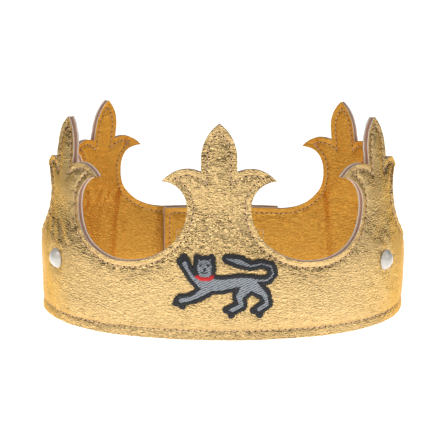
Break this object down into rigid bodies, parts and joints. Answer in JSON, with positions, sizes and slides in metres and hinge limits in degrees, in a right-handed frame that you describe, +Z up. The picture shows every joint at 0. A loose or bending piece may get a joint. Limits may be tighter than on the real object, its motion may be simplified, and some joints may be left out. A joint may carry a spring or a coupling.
{
  "type": "costume crown",
  "caption": "Soft padded costume crown with fleur-de-lis points, embroidered front panel, pearl studs and a hook-and-loop closure at the back.",
  "frame": {"origin": "middle of the footprint, on the surface the crown stands on", "axes": "front embroidery faces -Y, +X to the wearer's left seen from the front as right, +Z up through the head opening"},
  "size_m": [0.1928, 0.1517, 0.103],
  "materials": {
    "gold_leatherette": "satin metallic grain",
    "gold_lining": "satin metallic grain",
    "foam": "matte sheet foam",
    "gold_thread": "satin",
    "backing": "matte non-woven",
    "pearl": "pearlescent",
    "clear_plastic": "satin",
    "black_thread": "satin",
    "grey_thread": "speckled satin",
    "red_thread": "satin",
    "hook_tape": "hook pile",
    "loop_tape": "loop pile"
  },
  "bodies": {
    "front_panel": {"outer_shell_front": "gold_leatherette", "foam_core_front": "foam", "inner_lining_front": "gold_lining", "edge_stitching_front": "gold_thread", "embroidery_backing": "backing", "lion_outline_thread": "black_thread", "lion_fill_thread": "grey_thread", "lion_collar_thread": "red_thread"},
    "left_wing": {"outer_shell_left": "gold_leatherette", "foam_core_left": "foam", "inner_lining_left": "gold_lining", "edge_stitching_left": "gold_thread", "pearl_left": "pearl", "pearl_back_cap_left": "clear_plastic"},
    "right_wing": {"outer_shell_right": "gold_leatherette", "foam_core_right": "foam", "inner_lining_right": "gold_lining", "edge_stitching_right": "gold_thread", "pearl_right": "pearl", "pearl_back_cap_right": "clear_plastic", "hook_tape": "hook_tape", "hook_tape_stitching": "gold_thread"},
    "outer_end": {"outer_shell_outer_end": "gold_leatherette", "foam_core_outer_end": "foam", "inner_lining_outer_end": "gold_lining", "edge_stitching_outer_end": "gold_thread", "loop_tape": "loop_tape", "loop_tape_stitching": "gold_thread"}
  },
  "joints": [
    {"name": "left_wing_flex", "type": "hinge", "parent": "front_panel", "child": "left_wing", "pos_m": [-0.04559, -0.06798, 0], "axis": [0, 0, 1], "range_deg": [-3, 30]},
    {"name": "right_wing_flex", "type": "hinge", "parent": "front_panel", "child": "right_wing", "pos_m": [0.04559, -0.06798, 0], "axis": [0, 0, 1], "range_deg": [-30, 3]},
    {"name": "outer_end_peel", "type": "hinge", "parent": "left_wing", "child": "outer_end", "pos_m": [-0.03944, 0.07008, 0], "axis": [0, 0, 1], "range_deg": [0, 65]}
  ],
  "couplings": [
    {"joint": "right_wing_flex", "follows": "left_wing_flex", "ratio": -1}
  ]
}
